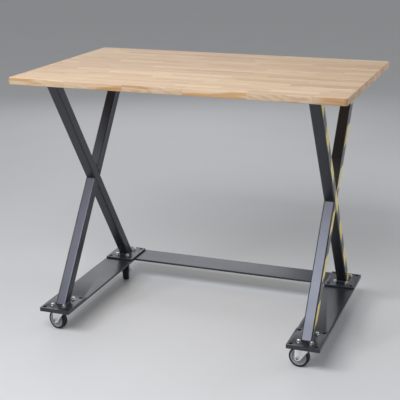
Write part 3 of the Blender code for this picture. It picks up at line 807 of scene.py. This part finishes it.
# The wheels are moulded: a grey plastic core, with a hub, a dished web and a rim, and a black rubber tyre
# moulded on to the rim. They turn on plain bores.
hub_colour = (0.34, 0.34, 0.35, 1.0)
hub_shade_colour = (0.24, 0.24, 0.25, 1.0)
hub_looks = {
    "cloud": (0.015, 0.0, 1.0),
    "roughness": (0.008, 0.38, 0.52),
    "grain": (0.0007, 0.15, 0.0001),
}
tyre_colour = (0.013, 0.013, 0.014, 1.0)
tyre_dust_colour = (0.17, 0.16, 0.155, 1.0)
rubber_specular = 0.2
tyre_looks = {
    "cloud": (0.010, 0.0, 0.07),
    "roughness": (0.006, 0.52, 0.72),
    "grain": (0.0010, 0.25, 0.0001),
}
wheel_steps = 72
wheel_radius = np.ptp(node_box("front_left_tyre")[:, 2]) / 2
tyre_depth = 0.0072
tyre_half_width = 0.0125
rim_radius = wheel_radius - tyre_depth
hub_half_width = 0.0140
hub_radius = 0.0105
hub_ease = 0.0012
bore_radius = 0.0043
bore_ease = 0.0008
web_half_width = 0.0052
shoulder_radius = 0.0046
shoulder_flat = 0.0003
shoulder_end_angle = 12
shoulder_steps = 8
core_sharp_angle = 35
tyre_sharp_angle = 45


def both_halves(half):
    """A profile's upper half followed by its mirror image below, as one closed line."""
    half = np.array(half, dtype=float)
    return np.concatenate([half, half[::-1] * (1, -1)])


hub_grey = clouded_finish("grey_moulded_hub", hub_colour, hub_shade_colour, **hub_looks)
rubber = clouded_finish(
    "black_rubber", tyre_colour, tyre_dust_colour, **tyre_looks, Specular_IOR_Level=rubber_specular
)
core_profile = both_halves(
    [
        (bore_radius, hub_half_width - bore_ease),
        (bore_radius + bore_ease, hub_half_width),
        (hub_radius - hub_ease, hub_half_width),
        (hub_radius, hub_half_width - hub_ease),
        (hub_radius + 0.0006, web_half_width + 0.0023),
        (hub_radius + 0.0022, web_half_width + 0.0006),
        (rim_radius - 0.0085, web_half_width),
        (rim_radius - 0.0066, web_half_width + 0.0010),
        (rim_radius - 0.0052, tyre_half_width - 0.0030),
        (rim_radius - 0.0044, tyre_half_width - 0.0016),
        (rim_radius - 0.0030, tyre_half_width - 0.0010),
        (rim_radius - 0.0008, tyre_half_width - 0.0012),
        (rim_radius - 0.0002, tyre_half_width - 0.0018),
    ]
)
shoulder_turn = np.radians(np.linspace(90, shoulder_end_angle, shoulder_steps))
tyre_profile = both_halves(
    [
        (rim_radius, tyre_half_width - 0.0012),
        (rim_radius + 0.0006, tyre_half_width - 0.0002),
        *zip(
            wheel_radius - shoulder_radius + (shoulder_radius - shoulder_flat) * np.cos(shoulder_turn),
            tyre_half_width - shoulder_radius + shoulder_radius * np.sin(shoulder_turn),
        ),
        (wheel_radius - 0.0001, 0.0060),
        (wheel_radius, 0.0015),
    ]
)
for corner in corners:
    axle, *_, (ahead, across, _) = caster_axes(corner)
    wheel_axes = np.array((up, ahead, across))
    shell = placed(turned(core_profile, wheel_steps, closed=True), axle, wheel_axes)
    core = new_piece(f"{corner}_wheel_moulding", [shell], hub_grey, core_sharp_angle)
    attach(core, f"{corner}_wheel")
    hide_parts(f"{corner}_wheel_core")
    shell = placed(turned(tyre_profile, wheel_steps, closed=True), axle, wheel_axes)
    tread = new_piece(f"{corner}_tyre_moulding", [shell], rubber, tyre_sharp_angle)
    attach(tread, f"{corner}_wheel")
    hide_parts(f"{corner}_tyre")

# Each caster hangs on four hexagon bolts, pushed up through its mount plate, the foot plate and the leg
# plate. A washer and a plain nut pull each one tight on top of the leg plate, and all are zinc plated.
bolt_head_height = 0.0053
washer_radius = 0.008
washer_thickness = 0.0016
washer_ease = 0.0003
washer_clearance = 0.0003
nut_turns = np.radians((4, 23, 41, 15))


def washer(low):
    """A flat ring's outside, eased at its rims."""
    insets, levels = eased_edge(low, low + washer_thickness, washer_ease, steps=2)
    return turned(np.stack([washer_radius - insets, levels], axis=1), shank_steps)


for corner in corners:
    washer_low = node_box(f"{corner}_leg_plate")[1, 2] + washer_clearance
    nut_low = washer_low + washer_thickness
    for number, turn in enumerate(nut_turns, start=1):
        node = f"{corner}_caster_bolt_{number}"
        low, high = node_box(node)
        head_top = low[2] + bolt_head_height
        shells = [
            hexagon_block(low[2], head_top, True, False),
            shank(head_top, nut_low),
            washer(washer_low),
            hexagon_block(nut_low, nut_low + nut_height, True, True),
            threaded_end(nut_low + nut_height / 2, high[2]),
        ]
        sine, cosine = np.sin(turn), np.cos(turn)
        turned_axes = ((cosine, sine, 0), (-sine, cosine, 0), (0, 0, 1))
        place = (low + high) / 2 * (1, 1, 0)
        shells = [placed(shell, place, turned_axes) for shell in shells]
        bolt = new_piece(f"{node}_and_nut", shells, bolt_zinc, fastener_sharp_angle)
        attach(bolt, "bench")
        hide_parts(node)

# The top is one slab of hardwood staves, finger-jointed end to end and glued edge to edge. It is planed and
# sanded, rounded at its corners, eased along its edges with a router, and oiled.
top_corner_radius = 0.012
top_corner_steps = 12
top_ease = 0.0025
stave_width = 0.0424
first_row = 77.5
row_shift = 7.0
stave_shortest = 0.15
stave_longer_by = 0.16
stave_scatter = (9.0, 9.0, 9.0)
finger_pitch = 0.006
finger_depth = 0.009
glue_line = 0.0004
glue_most = 0.55
glue_tint = (0.62, 0.52, 0.42, 1.0)
wood_tones = {
    0.0: (0.81, 0.635, 0.445, 1.0),
    0.35: (0.77, 0.58, 0.405, 1.0),
    0.75: (0.725, 0.53, 0.38, 1.0),
    1.0: (0.68, 0.50, 0.345, 1.0),
}
ring_width = 0.0085
ring_stretch = (5.0, 26.0, 26.0)
ring_span = (0.2, 0.8)
ring_wander = 0.012
ring_darkens = (0.30, 0.88)
ring_ends = (1.0, 0.90)
pith_slant = 0.05
pith_aside = (-0.085, 0.045)
pith_below = (0.01, 0.09)
late_wood_tint = (0.80, 0.68, 0.53, 1.0)
late_wood_share = (0.20, 0.60)
late_wood_on_top = 0.7
late_wood_more_on_edge = 0.6
band_stretch = (1.6, 34.0, 34.0)
band_most = 0.42
fibre_stretch = (3.0, 120.0, 120.0)
fibre_roughness = (0.60, 0.72)
streak_colour = (0.34, 0.215, 0.12, 1.0)
streak_stretch = (1.6, 88.0, 88.0)
streak_span = (0.58, 0.76)
streak_most = 0.50
pore_stretch = (70.0, 1500.0, 1500.0)
pore_span = (0.60, 0.72)
pore_most = 0.25
pore_hollow = -0.6
wood_relief = (0.12, 0.0004)
# Painted shade on the long front and back edges: darker pale and golden tints, mixed in noise zones.
edge_shade_zone_stretch = (5.0, 42.0, 42.0)
edge_shade_zone_span = (0.48, 0.62)
pale_edge_painted_shade = (0.68, 0.70, 0.70, 1.0)
golden_edge_painted_shade = (0.56, 0.455, 0.30, 1.0)
end_grain_tint = (0.79, 0.71, 0.62, 1.0)


def stave_layout(tree, x, y):
    """Rows of staves across the top, each cut into lengths that end in fingers, a zigzag across the row.
    Gives three draws for each stave as a colour, its length, and the shares of the way across and along."""
    row_place = maths(tree, "MULTIPLY_ADD", y, 1 / stave_width, first_row)
    row = maths(tree, "FLOOR", row_place)
    row_draw = add_node(tree, "ShaderNodeTexWhiteNoise", {"W": row}, noise_dimensions="1D").outputs
    row_offset = add_node(tree, "ShaderNodeSeparateColor", {0: row_draw["Color"]}).outputs[1]
    length = maths(tree, "MULTIPLY_ADD", row_draw["Value"], stave_longer_by, stave_shortest)
    zigzag = maths(tree, "PINGPONG", y, finger_pitch / 2)
    finger = maths(tree, "MULTIPLY", zigzag, 2 * finger_depth / finger_pitch)
    length_place = maths(tree, "DIVIDE", maths(tree, "ADD", x, finger), length)
    length_place = maths(tree, "MULTIPLY_ADD", row_offset, row_shift, length_place)
    number = {0: maths(tree, "FLOOR", length_place), 1: row}
    number = add_node(tree, "ShaderNodeCombineXYZ", number).outputs[0]
    draws = add_node(tree, "ShaderNodeTexWhiteNoise", {"Vector": number}, noise_dimensions="2D").outputs
    return draws["Color"], length, maths(tree, "FRACT", row_place), maths(tree, "FRACT", length_place)


def late_wood(tree, own_place, across, along, height, turn, pith):
    """Growth rings about a pith that lies at another place and slant beside each stave. The distance from
    the pith, which wanders with noise, repeats with each ring, darkens along it and ends sharply."""
    ripple = noise(tree, own_place, ring_stretch, detail=3.0)
    wander = ranged(tree, ripple, *ring_span, -ring_wander, ring_wander, "LINEAR")
    slope = ranged(tree, turn, 0, 1, -pith_slant, pith_slant, "LINEAR")
    slant = maths(tree, "MULTIPLY", maths(tree, "SUBTRACT", along, 0.5), slope)
    aside = maths(tree, "ADD", ranged(tree, turn, 0, 1, *pith_aside, "LINEAR"), slant)
    ring_y = maths(tree, "MULTIPLY_ADD", across, stave_width, aside)
    ring_z = maths(tree, "ADD", height, ranged(tree, pith, 0, 1, *pith_below, "LINEAR"))
    squares = maths(tree, "MULTIPLY_ADD", ring_y, ring_y, maths(tree, "MULTIPLY", ring_z, ring_z))
    reach = maths(tree, "ADD", maths(tree, "SQRT", squares), wander)
    ring = maths(tree, "FRACT", maths(tree, "DIVIDE", reach, ring_width))
    return maths(tree, "MULTIPLY", ranged(tree, ring, *ring_darkens), ranged(tree, ring, *ring_ends))


def stave_tone(tree, tone):
    """A stave's own colour, from pale to brown, by its draw."""
    stops = add_node(tree, "ShaderNodeValToRGB", {"Fac": tone})
    elements = stops.color_ramp.elements
    for position in sorted(wood_tones)[1:-1]:
        elements.new(position)
    for element, position in zip(elements, sorted(wood_tones)):
        element.position = position
        element.color = wood_tones[position]
    return stops.outputs["Color"]


def stave_finish(top_middle_z):
    """Oiled staves: each has its own tone, darkened in turn by bands, late wood, streaks, pores and glue
    lines, and tinted in the end grain, where the oil takes a deeper colour. The long edges are darkened as
    painted shade, and warmed, pale or golden in zones, where the oil takes a deeper colour."""
    finish, tree, shader, coordinates = new_finish("oiled_staves")
    x, y, z = add_node(tree, "ShaderNodeSeparateXYZ", {0: coordinates}).outputs
    draws, length, across, along = stave_layout(tree, x, y)
    tone, turn, pith = add_node(tree, "ShaderNodeSeparateColor", {0: draws}).outputs
    inputs = {0: draws, 1: stave_scatter, 2: coordinates}
    own_place = add_node(tree, "ShaderNodeVectorMath", inputs, operation="MULTIPLY_ADD").outputs[0]
    height = maths(tree, "SUBTRACT", z, top_middle_z)
    late = late_wood(tree, own_place, across, along, height, turn, pith)
    normal = facing_shares(tree)
    end_grain, edge = (maths(tree, "ABSOLUTE", normal[axis]) for axis in "XY")

    band = ranged(tree, noise(tree, own_place, band_stretch), *noise_span, 0.0, band_most)
    fibre = noise(tree, own_place, fibre_stretch, detail=4.0)
    figure = maths(tree, "MULTIPLY", late, ranged(tree, fibre, *noise_span, *late_wood_share))
    on_edge = maths(tree, "MULTIPLY_ADD", edge, late_wood_more_on_edge, late_wood_on_top)
    mineral = noise(tree, own_place, streak_stretch, detail=3.0)
    pore = ranged(tree, noise(tree, own_place, pore_stretch), *pore_span)
    from_side = maths(tree, "MULTIPLY", maths(tree, "PINGPONG", across, 0.5), stave_width)
    from_end = maths(tree, "MULTIPLY", maths(tree, "PINGPONG", along, 0.5), length)
    from_glue = maths(tree, "MINIMUM", from_side, from_end)
    # The long edges' painted shade: the colour is multiplied down by a pale or golden tint, by noise zones.
    edge_shade_mix = ranged(tree, noise(tree, own_place, edge_shade_zone_stretch, detail=1.0), *edge_shade_zone_span)

    layers = (
        (band, late_wood_tint, "MULTIPLY"),
        (maths(tree, "MULTIPLY", figure, on_edge), late_wood_tint, "MULTIPLY"),
        (ranged(tree, mineral, *streak_span, 0.0, streak_most), streak_colour, "MIX"),
        (maths(tree, "MULTIPLY", pore, pore_most), streak_colour, "MIX"),
        (ranged(tree, from_glue, 0.5 * glue_line, glue_line, glue_most, 0.0), glue_tint, "MULTIPLY"),
        (edge, mixed(tree, edge_shade_mix, pale_edge_painted_shade, golden_edge_painted_shade), "MULTIPLY"),
        (end_grain, end_grain_tint, "MULTIPLY"),
    )
    colour = stave_tone(tree, tone)
    for share, tint, blend in layers:
        colour = mixed(tree, share, colour, tint, blend)
    tree.links.new(colour, shader["Base Color"])
    tree.links.new(ranged(tree, fibre, *noise_span, *fibre_roughness), shader["Roughness"])
    hollow = maths(tree, "MULTIPLY_ADD", pore, pore_hollow, fibre)
    tree.links.new(bumped(tree, hollow, *wood_relief), shader["Normal"])
    return finish


low, high = node_box("tabletop")
staves = stave_finish((low[2] + high[2]) / 2)
shell = drilled_plate(low, high, top_corner_radius, top_ease, steps=top_corner_steps)
top = new_piece("tabletop_slab", [shell], staves)
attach(top, "bench")
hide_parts("tabletop")

# Sixteen wood screws with round heads hold the top down, driven up through the top plates' corner holes.
# They are zinc plated, with a hexagon socket in each head.
screw_head_radius = 0.0055
screw_head_height = 0.0032
screw_socket_radius = 0.0022
screw_shank_radius = 0.75 * screw_hole_radius
for corner in corners:
    low, high = node_box(f"{corner}_top_plate")
    head = [
        (screw_socket_radius * 0.9, low[2] - 0.4 * screw_head_height),
        (screw_socket_radius, low[2] - screw_head_height),
        (0.65 * screw_head_radius, low[2] - 0.93 * screw_head_height),
        (0.90 * screw_head_radius, low[2] - 0.62 * screw_head_height),
        (screw_head_radius, low[2] - 0.15 * screw_head_height),
        (screw_head_radius, low[2]),
        (screw_shank_radius, low[2]),
        (screw_shank_radius, high[2]),
    ]
    places = [place for place, _ in corner_holes(low, high, screw_hole_radius)]
    heads = [placed(turned(head, shank_steps), np.array((*place, 0))) for place in places]
    screws = new_piece(f"{corner}_wood_screws", heads, bolt_zinc)
    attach(screws, "bench")

# The studio: a pale floor, a soft sky all round, one large softbox above and in front of the bench, and two
# weaker ones low behind it, on the left and on the right, which light the sheen of the plates and frames.
# The camera stands where the photograph was taken from.
floor_colour = (0.65, 0.65, 0.655, 1.0)
floor_cloud_colour = (0.56, 0.56, 0.565, 1.0)
floor_cloud = (0.4, 0.0, 0.12)
floor_roughness = 0.6
floor_size = 60.0
sky_colour = (0.95, 0.97, 1.0, 1.0)
sky_strength = 0.36
softboxes = {
    "front_softbox": ((-0.6, -2.68, 2.9), (-0.6, 0.0, 0.6), (3.0, 1.0), 132.0),
    "rear_softbox": ((-1.75, 3.8, 1.6), (0.0, 0.0, 0.1), (2.7, 1.0), 16.0),
    "right_softbox": ((2.5, 1.9, 0.8), (0.8, 0.9, 0.0), (1.8, 0.8), 22.0),
}
camera_place = (1.1720, -3.3476, 1.5589)
camera_pitch = 16.714
camera_yaw = 20.341
camera_roll = -0.247
camera_focal_pixels = 973.2
camera_shift = (0.025, -0.0075)
picture_pixels = 400
sensor_width = 36.0

floor_finish, tree, shader, coordinates = new_finish("pale_floor", Roughness=floor_roughness)
cloud = mottled(tree, coordinates, *floor_cloud)
tree.links.new(mixed(tree, cloud, floor_colour, floor_cloud_colour), shader["Base Color"])
reach = np.linspace(-floor_size / 2, floor_size / 2, 2)
floor_mesh = bpy.data.meshes.new("floor")
floor_points = np.dstack(np.broadcast_arrays(reach[None, :], reach[:, None], 0.0)).reshape(-1, 3)
floor_mesh.from_pydata(floor_points.tolist(), [], [(0, 1, 3, 2)])
floor_mesh.materials.append(floor_finish)
floor = bpy.data.objects.new("floor", floor_mesh)
bpy.context.scene.collection.objects.link(floor)

world = bpy.data.worlds.new("studio")
world.use_nodes = True
sky = world.node_tree.nodes["Background"]
sky.inputs["Color"].default_value = sky_colour
sky.inputs["Strength"].default_value = sky_strength
bpy.context.scene.world = world

for name, (place, aim, size, power) in softboxes.items():
    lamp = bpy.data.lights.new(name, "AREA")
    lamp.shape = "RECTANGLE"
    lamp.size, lamp.size_y = size
    lamp.energy = power
    lamp.color = sky_colour[:3]
    softbox = bpy.data.objects.new(name, lamp)
    softbox.location = place
    softbox.rotation_euler = (Vector(aim) - Vector(place)).to_track_quat("-Z", "Y").to_euler()
    softbox.visible_camera = False
    bpy.context.scene.collection.objects.link(softbox)

camera_data = bpy.data.cameras.new("camera")
camera_data.sensor_width = sensor_width
camera_data.lens = camera_focal_pixels / picture_pixels * sensor_width
camera_data.shift_x, camera_data.shift_y = camera_shift
camera = bpy.data.objects.new("camera", camera_data)
camera.location = camera_place
level_turn = Euler(np.radians((90 - camera_pitch, 0, camera_yaw))).to_matrix()
camera.rotation_euler = (level_turn @ Matrix.Rotation(np.radians(camera_roll), 3, "Z")).to_euler()
bpy.context.scene.collection.objects.link(camera)
bpy.context.scene.camera = camera
bpy.context.scene.view_settings.view_transform = "Standard"
